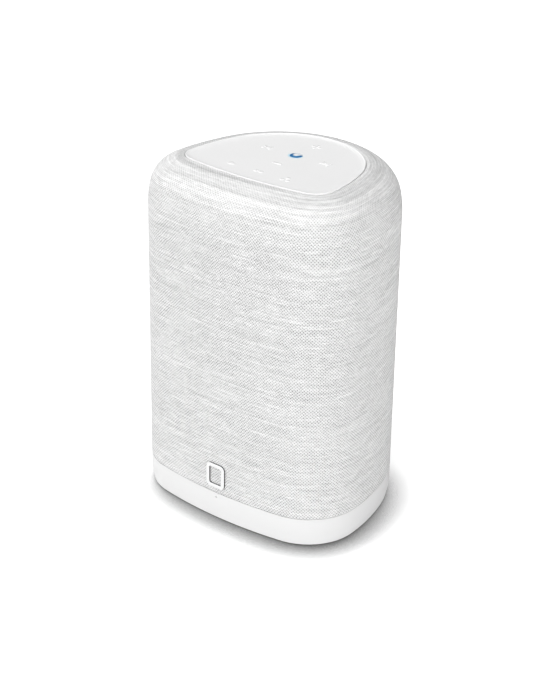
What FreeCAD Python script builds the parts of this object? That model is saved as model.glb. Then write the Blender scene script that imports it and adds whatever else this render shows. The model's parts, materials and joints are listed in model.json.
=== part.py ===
# A fabric-covered wireless speaker: rounded-triangle footprint, touch panel on top, connectors in a
# recess at the back of the base. Millimetres, +Z up, front towards -Y, origin under the middle of
# the footprint on the surface that the speaker stands on.
import FreeCAD, Part
import Sketcher
import math
import os
from types import SimpleNamespace

V = FreeCAD.Vector
UP = V(0, 0, 1)
os.makedirs("parts", exist_ok=True)
doc = FreeCAD.newDocument("speaker")

# Driving dimensions, in millimetres.
DIMENSIONS = dict(
    # footprint: two front corners, one broad rear, joined by flatter arcs
    corner_radius=40.5, corner_x=46.5, corner_y=-30.1, rear_radius=83, rear_y=-7.6,
    front_radius=315, side_radius=165,
    # heights
    height=250, fabric_top=249.4, seam_z=21.5, base_z=1.2, cover_top=3.7,
    # fabric skin and the shell under it
    skin=1, shell_gap=0.05, shell_wall=2.45, shoulder_radius=70, edge_radius=24.5, edge_inset=25.5,
    ledge_inner=31, ledge_low=243.4, ledge_top=246, slot_width=9, slot_depth=3, slot_pitch_x=12,
    slot_pitch_z=9,
    # touch panel and its light
    panel_gap=0.4, lip_width=2.4, dish_depth=0.9, light_y=8.9, light_radius=4.5, button_radius=2.8,
    touch_board_inset=31.6, touch_board_low=243.9, board_thick=1.6,
    # badge
    badge_width=16, badge_tall=18.6, badge_z=35.5, badge_band=2.6, badge_proud=1.2, badge_round=3.6,
    # base
    skirt_wall=2.5, skirt_curve_z=13, skirt_tuck=2, skirt_sweep=40.2, skirt_low=0.5,
    cover_inset=4.8,
    foot_outer=6.8, foot_inner=12, mic_z=18, mic_radius=0.6, mic_gasket_radius=3.5,
    mic_capsule_radius=3, screw_shank=1.5, screw_head=3, screw_sink=1.4, post_radius=4,
    # connector recess and connectors
    past_casing=90, tray_rise=1.9, tray_step_out=5, tray_step_in=4.7,
    recess_half=38, recess_low=5.4, recess_high=19.5, recess_floor=62, tray_wall=2, port_z=12.45,
    connector_back=44, inlet_x=-25.5, inlet_width=22, inlet_tall=11.5, inlet_slot=16.6,
    inlet_round=4.1, inlet_depth=13, pin_radius=1.2, pin_apart=4.3, network_x=-3.5,
    network_width=15.9, network_tall=13.2, network_hole=11.7, network_hole_tall=8.3,
    usb_x=11.5, usb_width=7.6, usb_tall=2.9, audio_x=22, audio_radius=3.6, audio_bore=1.8,
    audio_depth=13, setup_x=32.5, setup_radius=2.6, setup_hole=2.9, setup_flange=3.6,
    setup_front=63.4, setup_back=57.2, switch_front=56.2,
    # electronics on the main board
    board_low=4.1, module_tall=3.2, coil_tall=22, can_radius=6.3, can_tall=24, sink_base=3,
    sink_tall=20, sink_x=-40, sink_y=-40, sink_wide=35, sink_deep=26, fin_thick=1.6, fin_count=7,
    winding_inset=4, winding_tall=4, antenna_x=79.4, antenna_thick=1, antenna_y=-40, antenna_wide=14,
    antenna_low=185, antenna_high=215,
    # sound cabinet
    cap_inset=3.6, cabinet_inset=8, cabinet_wall=3.5, baffle_y=-57, baffle_thick=5,
    cabinet_low=48, cabinet_high=231, cap_thick=3, wadding_low=70, wadding_high=210,
    ribbon_x=0, ribbon_half=6, ribbon_thick=0.5,
    # drivers
    woofer_z=112, woofer_hole=50.3, woofer_rim=59, woofer_screw_circle=55.5, tweeter_x=33,
    tweeter_z=198, tweeter_hole=18.6, tweeter_rim=22, dome_radius=12.5,
)


class Size:
    """A length that carries both its value and the sheet expression that it comes from."""

    def __init__(self, value, text=None):
        self.value = float(value)
        self.text = text or "(%r)" % float(value)

    def join(self, other, sign, value):
        other = size(other)
        return Size(value(self.value, other.value), "(%s %s %s)" % (self.text, sign, other.text))

    def __add__(self, other):
        return self.join(other, "+", lambda a, b: a + b)

    def __sub__(self, other):
        return self.join(other, "-", lambda a, b: a - b)

    def __mul__(self, other):
        return self.join(other, "*", lambda a, b: a * b)

    def __neg__(self):
        return Size(-self.value, "(-1 * %s)" % self.text)


def size(number):
    return number if isinstance(number, Size) else Size(number)


sheet = doc.addObject("Spreadsheet::Sheet", "Dims")
d = SimpleNamespace()
for row, (alias, number) in enumerate(DIMENSIONS.items(), 1):
    sheet.set("A%d" % row, alias)
    sheet.set("B%d" % row, str(number))
    sheet.setAlias("B%d" % row, alias)
    setattr(d, alias, Size(number, "Dims.%s" % alias))
doc.recompute()

# The front arc's centre follows from the corners that it touches.
front_centre_y = d.corner_y.value + math.sqrt(
    (d.front_radius.value - d.corner_radius.value) ** 2 - d.corner_x.value ** 2)
front_y = Size(front_centre_y - d.front_radius.value)
panel_inset = d.edge_inset + d.panel_gap
dish_z = d.height - d.dish_depth
bottom_posts = [(x * side, y) for x, y in ((70, -28), (58, 22), (32, -57.5)) for side in (1, -1)]
board_holes = [(x * side, y) for x, y in ((50, -42), (40, 38)) for side in (1, -1)]

# ---------------------------------------------------------------- sketch and feature helpers
def new_body(label):
    body = doc.addObject("PartDesign::Body", label)
    body.Label = label
    return body


def new_sketch(body, plane, lift=0):
    """A sketch on one of the body's own planes, lifted along the plane's normal."""
    face = [f for f in body.Origin.OriginFeatures if f.Role == plane][0]
    sketch = body.newObject("Sketcher::SketchObject", body.Label + "_sketch")
    sketch.AttachmentSupport = [(face, "")]
    sketch.MapMode = "FlatFace"
    sketch.setExpression("AttachmentOffset.Base.z", size(lift).text)
    return sketch


def bind(sketch, kind, *where_and_size):
    """Add a length constraint and tie it to its sheet expression."""
    where, length = where_and_size[:-1], size(where_and_size[-1])
    index = sketch.addConstraint(Sketcher.Constraint(kind, *where, length.value))
    sketch.setExpression("Constraints[%d]" % index, length.text)


def fix_point(sketch, geometry, point, x, y):
    """Place a point from the origin; a zero distance becomes a point on the axis."""
    for kind, axis, length in (("DistanceX", -2, size(x)), ("DistanceY", -1, size(y))):
        if abs(length.value) < 1e-9:
            sketch.addConstraint(Sketcher.Constraint("PointOnObject", geometry, point, axis))
        else:
            bind(sketch, kind, -1, 1, geometry, point, length)


def circles(sketch, centres, radius):
    for x, y in centres:
        x, y = size(x), size(y)
        centre = V(x.value, y.value, 0)
        index = sketch.addGeometry(Part.Circle(centre, UP, size(radius).value), False)
        bind(sketch, "Radius", index, radius)
        fix_point(sketch, index, 3, x, y)


def arc_through(start, end, radius):
    """The short arc from start to end; a positive radius bulges to the left of the way there."""
    chord = end - start
    reach = abs(radius)
    height = math.sqrt(max(reach ** 2 - (chord.Length / 2) ** 2, 0))
    left = V(-chord.y, chord.x, 0).normalize()
    bulge = left if radius > 0 else left * -1
    centre = (start + end) * 0.5 - bulge * height
    angle = [math.atan2(p.y - centre.y, p.x - centre.x) for p in (start, end)]
    if radius > 0:
        angle.reverse()
    return Part.ArcOfCircle(Part.Circle(centre, UP, reach), *angle)


def outline(sketch, points, arcs=None):
    """A closed outline through points; arcs gives a signed radius for the side after a point."""
    arcs = arcs or {}
    corners = [(size(x), size(y)) for x, y in points]
    spots = [V(x.value, y.value, 0) for x, y in corners]
    ends = []
    for i, spot in enumerate(spots):
        following = spots[(i + 1) % len(spots)]
        if i in arcs:
            index = sketch.addGeometry(arc_through(spot, following, size(arcs[i]).value), False)
            ends.append((index, 2, 1) if size(arcs[i]).value > 0 else (index, 1, 2))
            radius = arcs[i] if size(arcs[i]).value > 0 else -size(arcs[i])
            bind(sketch, "Radius", index, radius)
        else:
            index = sketch.addGeometry(Part.LineSegment(spot, following), False)
            ends.append((index, 1, 2))
    for i, (index, first, last) in enumerate(ends):
        following = ends[(i + 1) % len(ends)]
        sketch.addConstraint(
            Sketcher.Constraint("Coincident", index, last, following[0], following[1]))
        fix_point(sketch, index, first, *corners[i])


def rectangle(sketch, x_low, y_low, x_high, y_high):
    outline(sketch, [(x_low, y_low), (x_high, y_low), (x_high, y_high), (x_low, y_high)])


def footprint(sketch, inset=0, flat=None):
    """The speaker's outline moved in by inset; flat replaces the front arc with a line at that y."""
    inset = size(inset)
    corner = V(d.corner_x.value, d.corner_y.value, 0)
    rear = V(0, d.rear_y.value, 0)
    front = V(0, front_centre_y, 0)
    # a side arc's centre is a known distance from the corner's and the rear's centres
    to_corner = d.side_radius.value - d.corner_radius.value
    to_rear = d.side_radius.value - d.rear_radius.value
    gap = rear - corner
    along = (to_corner ** 2 - to_rear ** 2 + gap.Length ** 2) / (2 * gap.Length)
    across = math.sqrt(to_corner ** 2 - along ** 2)
    unit = V(gap).normalize()
    side = corner + unit * along + V(-unit.y, unit.x, 0) * across

    def heading(start, end):
        return math.atan2(end.y - start.y, end.x - start.x)

    at_front, at_side, at_rear = heading(front, corner), heading(side, corner), heading(side, rear)
    if flat is not None:
        reach = d.corner_radius.value - inset.value
        at_front = -math.asin((corner.y - size(flat).value) / reach)
    right = [
        (front, d.front_radius, -math.pi / 2, at_front),
        (corner, d.corner_radius, at_front, at_side),
        (side, d.side_radius, at_side, at_rear),
    ]
    left = [(V(-c.x, c.y, 0), r, math.pi - b, math.pi - a) for c, r, a, b in reversed(right)]
    arcs = right + [(rear, d.rear_radius, at_rear, math.pi - at_rear)] + left
    if flat is not None:
        arcs = arcs[1:-1]
    at = []
    for centre, radius, start, end in arcs:
        circle = Part.Circle(centre, UP, (radius - inset).value)
        at.append(sketch.addGeometry(Part.ArcOfCircle(circle, start, end), False))
        bind(sketch, "Radius", at[-1], radius - inset)
    for this, following in zip(at, at[1:] + (at[:1] if flat is None else [])):
        sketch.addConstraint(Sketcher.Constraint("Tangent", this, 2, following, 1))
    middle = len(at) // 2
    for i, sign in ((middle - 2, 1), (middle + 2, -1)):
        fix_point(sketch, at[i], 3, d.corner_x * sign, d.corner_y)
    fix_point(sketch, at[middle], 3, 0, d.rear_y)
    if flat is None:
        sketch.addConstraint(Sketcher.Constraint("PointOnObject", at[0], 1, -2))
        return
    ends = sketch.getPoint(at[-1], 2), sketch.getPoint(at[0], 1)
    line = sketch.addGeometry(Part.LineSegment(*ends), False)
    sketch.addConstraint(Sketcher.Constraint("Coincident", at[-1], 2, line, 1))
    sketch.addConstraint(Sketcher.Constraint("Coincident", line, 2, at[0], 1))
    sketch.addConstraint(Sketcher.Constraint("Horizontal", line))
    bind(sketch, "DistanceY", -1, 1, line, 1, flat)


def extrude(body, sketch, length, cut=False, reverse=False, both=False):
    feature = body.newObject("PartDesign::Pocket" if cut else "PartDesign::Pad", body.Label + "_x")
    feature.Profile = sketch
    feature.Reversed = reverse
    feature.Midplane = both
    feature.setExpression("Length", size(length).text)
    return feature


def plate(body, low, high, draw, cut=False):
    """Pad (or cut) a horizontal outline between two heights."""
    sketch = new_sketch(body, "XY_Plane", low)
    draw(sketch)
    return extrude(body, sketch, size(high) - low, cut, reverse=cut)


def ring_plate(body, low, high, outer, inner, cut=False):
    """A flat ring between two insets of the footprint."""

    def draw(sketch):
        footprint(sketch, outer)
        footprint(sketch, inner)

    return plate(body, low, high, draw, cut)


def through_y(body, near, far, draw, cut=False):
    """Pad (or cut) an outline in x and z between two depths, near being the smaller y."""
    sketch = new_sketch(body, "XZ_Plane", -size(far))
    draw(sketch)
    return extrude(body, sketch, size(far) - near, cut, reverse=cut)


def sweep_round(body, draw):
    """Carry a wall section, drawn in y and z at the front middle, round the footprint."""
    spine = new_sketch(body, "XY_Plane")
    footprint(spine)
    section = new_sketch(body, "YZ_Plane")
    draw(section)
    pipe = body.newObject("PartDesign::AdditivePipe", body.Label + "_pipe")
    pipe.Profile = section
    pipe.Spine = (spine, [])
    return pipe


def revolve(body, draw, groove=False):
    """Turn a section, drawn in radius and height, round the body's own vertical axis."""
    section = new_sketch(body, "XZ_Plane")
    draw(section)
    kind = "PartDesign::Groove" if groove else "PartDesign::Revolution"
    feature = body.newObject(kind, body.Label + "_turn")
    feature.Profile = section
    feature.ReferenceAxis = (section, ["V_Axis"])
    feature.Angle = 360
    return feature


def ring_of(body, source, count):
    """Repeat a feature round the body's own vertical axis."""
    pattern = body.newObject("PartDesign::PolarPattern", body.Label + "_ring")
    pattern.Originals = [source]
    pattern.Axis = (source.Profile[0], ["N_Axis"])
    pattern.Angle = 360
    pattern.Occurrences = count
    body.Tip = pattern


def row_of(body, source, count, pitch, axis="H_Axis"):
    """Repeat a feature along one of its sketch's axes, pitch apart."""
    pattern = body.newObject("PartDesign::LinearPattern", body.Label + "_row")
    pattern.Originals = [source]
    pattern.Direction = (source.Profile[0], [axis])
    pattern.Occurrences = count
    pattern.setExpression("Length", (size(pitch) * (count - 1)).text)
    body.Tip = pattern


def round_top(body, feature, radius):
    """Round the highest edges of a feature."""
    doc.recompute()
    top = feature.Shape.BoundBox.ZMax
    names = ["Edge%d" % (i + 1) for i, edge in enumerate(feature.Shape.Edges)
             if edge.BoundBox.ZMin > top - 0.01]
    rim = body.newObject("PartDesign::Fillet", body.Label + "_round")
    rim.Base = (feature, names)
    rim.Radius = radius


def stand_on_baffle(body, x, z):
    """Turn a driver's piece so that its axis points out of the baffle, at x and z."""
    body.Placement = FreeCAD.Placement(V(0, 0, 0), FreeCAD.Rotation(V(1, 0, 0), 90))
    body.setExpression("Placement.Base.x", size(x).text)
    body.setExpression("Placement.Base.y", d.baffle_y.text)
    body.setExpression("Placement.Base.z", size(z).text)


# ---------------------------------------------------------------- casing
def shoulder_wall(sketch, low, outer, inner):
    """Two parallel curves, straight up and over the shoulder, closed into a wall section."""
    lines = []
    for inset in (size(outer), size(inner)):
        big, small = d.shoulder_radius - inset, d.edge_radius - inset
        edge_y, edge_z = front_y + d.edge_inset, d.fabric_top - d.edge_radius
        shift = d.shoulder_radius.value - d.edge_inset.value
        drop = math.sqrt((d.shoulder_radius.value - d.edge_radius.value) ** 2 - shift ** 2)
        turn = math.pi - math.atan2(drop, shift)
        big_centre = V(front_y.value + d.shoulder_radius.value, edge_z.value - drop, 0)
        wall_y = front_y + inset
        bend = V(wall_y.value, big_centre.y, 0)
        base = V(wall_y.value, size(low).value, 0)
        line = sketch.addGeometry(Part.LineSegment(base, bend), False)
        big_arc = sketch.addGeometry(
            Part.ArcOfCircle(Part.Circle(big_centre, UP, big.value), turn, math.pi), False)
        small_arc = sketch.addGeometry(Part.ArcOfCircle(
            Part.Circle(V(edge_y.value, edge_z.value, 0), UP, small.value), math.pi / 2, turn), False)
        fix_point(sketch, line, 1, wall_y, low)
        sketch.addConstraint(Sketcher.Constraint("Vertical", line))
        sketch.addConstraint(Sketcher.Constraint("Tangent", line, 2, big_arc, 2))
        sketch.addConstraint(Sketcher.Constraint("Tangent", big_arc, 1, small_arc, 2))
        bind(sketch, "Radius", big_arc, big)
        bind(sketch, "Radius", small_arc, small)
        fix_point(sketch, small_arc, 3, edge_y, edge_z)
        bind(sketch, "DistanceX", -1, 1, small_arc, 1, edge_y)
        lines.append((line, small_arc))
    (outer_line, outer_arc), (inner_line, inner_arc) = lines
    for outer_end, inner_end in (((outer_arc, 1), (inner_arc, 1)), ((outer_line, 1), (inner_line, 1))):
        ends = [sketch.getPoint(*end) for end in (outer_end, inner_end)]
        cap = sketch.addGeometry(Part.LineSegment(*ends), False)
        sketch.addConstraint(Sketcher.Constraint("Coincident", cap, 1, *outer_end))
        sketch.addConstraint(Sketcher.Constraint("Coincident", cap, 2, *inner_end))


def fabric_sleeve():
    body = new_body("fabric_sleeve")
    sweep_round(body, lambda s: shoulder_wall(s, d.seam_z, 0, d.skin))


def grille_shell():
    body = new_body("grille_shell")
    outer = d.skin + d.shell_gap
    sweep_round(body, lambda s: shoulder_wall(s, d.seam_z, outer, outer + d.shell_wall))
    doc.recompute()

    ring_plate(body, d.ledge_low, d.ledge_top, d.edge_inset - d.shell_wall, d.ledge_inner)
    columns, rows = 7, 20

    def slot(sketch):
        left = d.slot_pitch_x * (-(columns - 1) / 2) - d.slot_width * 0.5
        low = d.seam_z + 12
        rectangle(sketch, left, low, left + d.slot_width, low + d.slot_depth)

    first = through_y(body, front_y - 1, d.baffle_y - 5, slot, cut=True)
    both_ways = body.newObject("PartDesign::MultiTransform", "grille_slots")
    both_ways.Originals = [first]
    across = body.newObject("PartDesign::LinearPattern", "slots_across")
    across.Direction = (first.Profile[0], ["H_Axis"])
    across.Occurrences = columns
    across.setExpression("Length", (d.slot_pitch_x * (columns - 1)).text)
    upward = body.newObject("PartDesign::LinearPattern", "slots_up")
    upward.Direction = (first.Profile[0], ["V_Axis"])
    upward.Occurrences = rows
    upward.setExpression("Length", (d.slot_pitch_z * (rows - 1)).text)
    both_ways.Transformations = [across, upward]
    body.Tip = both_ways


def top_panel():
    body = new_body("top_panel")
    plate(body, d.ledge_top, d.height, lambda s: footprint(s, panel_inset))
    dish = panel_inset + d.lip_width
    plate(body, dish_z, d.height, lambda s: footprint(s, dish), cut=True)
    doc.recompute()
    bore = d.light_radius + 0.05
    plate(body, d.ledge_top, dish_z, lambda s: circles(s, [(0, d.light_y)], bore), cut=True)


def status_light():
    body = new_body("status_light_ring")

    def draw(sketch):
        circles(sketch, [(0, d.light_y)], d.light_radius)
        circles(sketch, [(0, d.light_y)], d.button_radius + 0.05)

    plate(body, d.ledge_top, dish_z, draw)
    dome = new_body("play_touch_pad")
    post = plate(dome, d.ledge_top, d.height, lambda s: circles(s, [(0, d.light_y)], d.button_radius))
    round_top(dome, post, 0.6)


def front_badge():
    body = new_body("front_badge")

    def rounded(sketch, shrink):
        half, tall = (d.badge_width - shrink) * 0.5, (d.badge_tall - shrink) * 0.5
        turn = d.badge_round - size(shrink) * 0.5
        low, high = d.badge_z - tall, d.badge_z + tall
        points = [(-half + turn, low), (half - turn, low), (half, low + turn), (half, high - turn),
                  (half - turn, high), (-half + turn, high), (-half, high - turn), (-half, low + turn)]
        outline(sketch, points, {i: -turn for i in (1, 3, 5, 7)})

    def draw(sketch):
        rounded(sketch, 0)
        rounded(sketch, d.badge_band * 2)

    through_y(body, front_y - d.badge_proud, front_y, draw)


def base_skirt():
    body = new_body("base_skirt")
    inner = front_y + d.skirt_wall

    def section(sketch):
        points = [(front_y, d.seam_z), (front_y, d.skirt_curve_z), (front_y + d.skirt_tuck, d.skirt_low),
                  (inner + d.skirt_tuck, d.skirt_low), (inner, d.skirt_curve_z), (inner, d.seam_z)]
        outline(sketch, points, {1: -d.skirt_sweep, 3: d.skirt_sweep})

    sweep_round(body, section)
    doc.recompute()
    through_y(body, d.recess_floor - 10, d.past_casing, lambda s: rectangle(
        s, -d.recess_half, d.recess_low, d.recess_half, d.recess_high), cut=True)
    through_y(body, front_y - 10, inner + 4, lambda s: circles(s, [(0, d.mic_z)], d.mic_radius),
              cut=True)


def bottom_cover():
    body = new_body("bottom_cover")
    plate(body, d.base_z, d.cover_top, lambda s: footprint(s, d.cover_inset))
    plate(body, d.base_z, d.cover_top, lambda s: circles(s, bottom_posts, d.screw_shank + 0.1),
          cut=True)
    sink_top = d.base_z + d.screw_sink
    plate(body, d.base_z, sink_top, lambda s: circles(s, bottom_posts, d.screw_head + 0.3), cut=True)
    plate(body, d.base_z + 1, d.cover_top, lambda s: circles(s, board_holes, 1.3), cut=True)


def foot_pad():
    body = new_body("foot_pad")
    ring_plate(body, 0, d.base_z, d.foot_outer, d.foot_inner)


def screw_group(label, centres, shank, head, low, seat, top):
    """Identical vertical screws: shanks from low to seat, heads from seat to top."""
    body = new_body(label)
    plate(body, low, seat, lambda s: circles(s, centres, shank))
    plate(body, seat, top, lambda s: circles(s, centres, head))


def bottom_screws():
    body = new_body("bottom_screws")
    seat = d.base_z + d.screw_sink
    plate(body, seat, seat + 10, lambda s: circles(s, bottom_posts, d.screw_shank))
    plate(body, d.base_z + 0.2, seat, lambda s: circles(s, bottom_posts, d.screw_head))


def microphone():
    inner = front_y + d.skirt_wall
    gasket = new_body("microphone_gasket")

    def draw(sketch):
        circles(sketch, [(0, d.mic_z)], d.mic_gasket_radius)
        circles(sketch, [(0, d.mic_z)], d.mic_radius)

    through_y(gasket, inner + 0.1, inner + 1.1, draw)
    capsule = new_body("microphone_capsule")
    through_y(capsule, inner + 1.1, inner + 2.7,
              lambda s: circles(s, [(0, d.mic_z)], d.mic_capsule_radius))


# ---------------------------------------------------------------- connector recess at the back
def port_box(sketch, x, width, tall, z=None):
    middle = d.port_z if z is None else z
    half, rise = size(width) * 0.5, size(tall) * 0.5
    rectangle(sketch, size(x) - half, middle - rise, size(x) + half, middle + rise)


def connector_tray():
    body = new_body("connector_tray")
    half = d.recess_half + d.tray_wall
    front = d.recess_floor - d.tray_wall
    reach = d.rear_radius - d.skirt_wall - 0.1
    corner_y = Size(d.rear_y.value + math.sqrt(reach.value ** 2 - half.value ** 2))
    points = [(-half, front), (half, front), (half, corner_y), (-half, corner_y)]
    plate(body, d.cover_top + 0.1, d.recess_high + d.tray_rise, lambda s: outline(s, points, {2: -reach}))
    through_y(body, d.recess_floor, d.past_casing, lambda s: rectangle(
        s, -d.recess_half, d.recess_low, d.recess_half, d.recess_high), cut=True)
    for x, width, tall in ((d.inlet_x, d.inlet_width, d.inlet_tall),
                           (d.network_x, d.network_width, d.network_tall),
                           (d.usb_x, d.usb_width, d.usb_tall)):
        through_y(body, front, d.recess_floor, lambda s: port_box(s, x, width + 0.2, tall + 0.2),
                  cut=True)
    holes = ((d.audio_x, d.audio_radius + 0.1), (d.setup_x, d.setup_hole))
    for x, radius in holes:
        through_y(body, front, d.recess_floor, lambda s: circles(s, [(x, d.port_z)], radius), cut=True)
    # the skirt curves inwards below this height, so the tray steps back from it
    ring_plate(body, d.cover_top + 0.1, d.skirt_curve_z, -d.tray_step_out, d.tray_step_in, cut=True)


def mains_inlet():
    body = new_body("mains_inlet")
    face = d.recess_floor + 0.4
    through_y(body, d.connector_back, face,
              lambda s: port_box(s, d.inlet_x, d.inlet_width, d.inlet_tall))
    reach = d.inlet_slot * 0.5 - d.inlet_round
    low, high = d.port_z - d.inlet_round, d.port_z + d.inlet_round
    points = [(d.inlet_x - reach, low), (d.inlet_x + reach, low), (d.inlet_x + reach, high),
              (d.inlet_x - reach, high)]

    def slot(sketch):
        outline(sketch, points, {1: -d.inlet_round, 3: -d.inlet_round})

    through_y(body, face - d.inlet_depth, face, slot, cut=True)
    pins = new_body("mains_inlet_pins")
    centres = [(d.inlet_x - d.pin_apart, d.port_z), (d.inlet_x + d.pin_apart, d.port_z)]
    through_y(pins, face - d.inlet_depth, face - 1.5, lambda s: circles(s, centres, d.pin_radius))


def network_socket():
    body = new_body("network_socket")
    face = d.recess_floor + 0.4
    through_y(body, d.connector_back, face,
              lambda s: port_box(s, d.network_x, d.network_width, d.network_tall))
    through_y(body, face - 12, face,
              lambda s: port_box(s, d.network_x, d.network_hole, d.network_hole_tall), cut=True)


def usb_socket():
    body = new_body("service_usb_socket")
    face = d.recess_floor + 0.2
    through_y(body, face - 8, face, lambda s: port_box(s, d.usb_x, d.usb_width, d.usb_tall))
    through_y(body, face - 5.5, face,
              lambda s: port_box(s, d.usb_x, d.usb_width - 0.8, d.usb_tall - 0.8), cut=True)
    tongue = new_body("service_usb_tongue")
    through_y(tongue, face - 5.5, face - 1,
              lambda s: port_box(s, d.usb_x, d.usb_width - 3, 0.7))


def audio_socket():
    body = new_body("audio_socket")
    face = d.recess_floor + 1
    wall = d.recess_floor - d.tray_wall - 0.2
    through_y(body, face - d.audio_depth - 2, wall, lambda s: port_box(s, d.audio_x, 10, 10))
    through_y(body, wall, face, lambda s: circles(s, [(d.audio_x, d.port_z)], d.audio_radius))
    through_y(body, face - d.audio_depth, face,
              lambda s: circles(s, [(d.audio_x, d.port_z)], d.audio_bore), cut=True)


def setup_button():
    body = new_body("setup_button")
    spot = [(d.setup_x, d.port_z)]
    flange = d.recess_floor - d.tray_wall - 0.3
    through_y(body, flange, d.setup_front, lambda s: circles(s, spot, d.setup_radius))
    through_y(body, flange - 1, flange, lambda s: circles(s, spot, d.setup_flange))
    through_y(body, d.setup_back, flange - 1, lambda s: circles(s, spot, 1.5))
    switch = new_body("setup_switch")
    through_y(switch, d.switch_front - 5, d.switch_front, lambda s: port_box(s, d.setup_x, 7, 7))


# ---------------------------------------------------------------- electronics
def main_board():
    body = new_body("main_board")
    half = [(56, -48), (56, 12), (42, 44), (34, 58)]
    points = half + [(-x, y) for x, y in reversed(half)]
    top = d.board_low + d.board_thick
    plate(body, d.board_low, top, lambda s: outline(s, points))
    plate(body, d.board_low, top, lambda s: circles(s, board_holes, 1.5), cut=True)
    screw_group("board_screws", board_holes, 1.25, 2.6, d.base_z + 1.2, top, top + 1.6)


def on_board(label, x_low, y_low, x_high, y_high, tall):
    """A block that stands on the main board."""
    body = new_body(label)
    foot = d.board_low + d.board_thick
    plate(body, foot, foot + tall, lambda s: rectangle(s, x_low, y_low, x_high, y_high))
    return body


def board_parts():
    foot = d.board_low + d.board_thick
    on_board("network_module", 14, -36, 40, -16, d.module_tall)
    core = [-34, 6, -8, 32]
    on_board("mains_transformer_core", *core, d.coil_tall)
    winding = new_body("mains_transformer_winding")
    low = [size(c) + d.winding_inset for c in core[:2]]
    high = [size(c) - d.winding_inset for c in core[2:]]
    plate(winding, foot + d.coil_tall, foot + d.coil_tall + d.winding_tall,
          lambda s: rectangle(s, *low, *high))
    cans = new_body("filter_capacitors")
    plate(cans, foot, foot + d.can_tall,
          lambda s: circles(s, [(2, 24), (18, 24), (10, 8)], d.can_radius))
    far_x, far_y = d.sink_x + d.sink_wide, d.sink_y + d.sink_deep
    sink = on_board("amplifier_heat_sink", d.sink_x, d.sink_y, far_x, far_y, d.sink_base)
    first = plate(sink, foot + d.sink_base, foot + d.sink_tall,
                  lambda s: rectangle(s, d.sink_x, d.sink_y, d.sink_x + d.fin_thick, far_y))
    fins = int(d.fin_count.value)
    row_of(sink, first, fins, (d.sink_wide - d.fin_thick) * (1 / (fins - 1)))


def top_electronics():
    board = new_body("touch_sensor_board")
    high = d.touch_board_low + d.board_thick
    plate(board, d.touch_board_low, high, lambda s: footprint(s, d.touch_board_inset))
    light = new_body("status_light_source")
    plate(light, high, high + 0.4, lambda s: circles(s, [(0, d.light_y)], 3.8))
    antennas = new_body("wireless_antennas")

    def pair(sketch):
        near, far = d.antenna_x, d.antenna_x + d.antenna_thick
        for left, right in ((near, far), (-far, -near)):
            rectangle(sketch, left, d.antenna_y, right, d.antenna_y + d.antenna_wide)

    plate(antennas, d.antenna_low, d.antenna_high, pair)


def ribbon_cable():
    """Flat cable from the touch board, down behind the cabinet, to the main board."""
    body = new_body("touch_ribbon_cable")
    rear = d.rear_y + d.rear_radius - d.cabinet_inset + 0.4
    route = [(42, d.touch_board_low - 0.6), (60, 240.2), (rear, 234.6), (rear, 32), (58, 24), (40, 22),
             (36, d.board_low + d.board_thick)]
    thick = d.ribbon_thick
    back = [(y + thick, z) for y, z in ((size(y), z) for y, z in reversed(route))]
    sketch = new_sketch(body, "YZ_Plane", d.ribbon_x)
    outline(sketch, route + back)
    extrude(body, sketch, d.ribbon_half * 2, both=True)


# ---------------------------------------------------------------- sound cabinet
def around(radius, count, turn=0):
    return [(radius * math.cos(turn + 2 * math.pi * i / count),
             radius * math.sin(turn + 2 * math.pi * i / count)) for i in range(count)]


def cabinet():
    body = new_body("cabinet_body")
    plate(body, d.cabinet_low, d.cabinet_high, lambda s: footprint(s, d.cabinet_inset, d.baffle_y))
    inner = d.cabinet_inset + d.cabinet_wall
    plate(body, d.cabinet_low, d.cabinet_high,
          lambda s: footprint(s, inner, d.baffle_y + d.baffle_thick), cut=True)
    inside = d.baffle_y + d.baffle_thick + 1
    through_y(body, d.baffle_y - 1, inside,
              lambda s: circles(s, [(0, d.woofer_z)], d.woofer_hole), cut=True)
    tweeters = [(d.tweeter_x, d.tweeter_z), (-d.tweeter_x, d.tweeter_z)]
    through_y(body, d.baffle_y - 1, inside, lambda s: circles(s, tweeters, d.tweeter_hole), cut=True)
    holes = [(x, d.woofer_z + z) for x, z in around(d.woofer_screw_circle.value, 6, math.pi / 6)]
    through_y(body, d.baffle_y - 1, inside, lambda s: circles(s, holes, 1.2), cut=True)
    low_cap = new_body("cabinet_bottom_cap")
    cap_low = d.cabinet_low - d.cap_thick
    plate(low_cap, cap_low, d.cabinet_low, lambda s: footprint(s, d.cap_inset))
    posts_low = d.cover_top
    plate(low_cap, posts_low, cap_low, lambda s: circles(s, bottom_posts, d.post_radius))
    plate(low_cap, posts_low, cap_low, lambda s: circles(s, bottom_posts, d.screw_shank), cut=True)
    passage = d.ribbon_half + 1
    plate(low_cap, cap_low, d.cabinet_low, lambda s: rectangle(
        s, d.ribbon_x - passage, 66, d.ribbon_x + passage, 80), cut=True)
    top_cap = new_body("cabinet_top_cap")
    plate(top_cap, d.cabinet_high, d.cabinet_high + d.cap_thick,
          lambda s: footprint(s, d.cabinet_inset + 0.6, d.baffle_y))
    wadding = new_body("acoustic_wadding")
    plate(wadding, d.wadding_low, d.wadding_high, lambda s: rectangle(s, -30, 46, 30, 56))


# ---------------------------------------------------------------- drivers; height is out of the baffle
def turned(label, points, arcs=None):
    """A woofer piece, turned from a section in radius and height out of the baffle."""
    body = new_body(label)
    revolve(body, lambda s: outline(s, points, arcs))
    stand_on_baffle(body, 0, d.woofer_z)
    return body


def ball_radius(reach, rise):
    """The radius of a cap of a ball that is centred on the axis."""
    return (reach ** 2 + rise ** 2) / (2 * rise)


def ring_section(inner, outer, low, high):
    return [(inner, low), (outer, low), (outer, high), (inner, high)]


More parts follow.
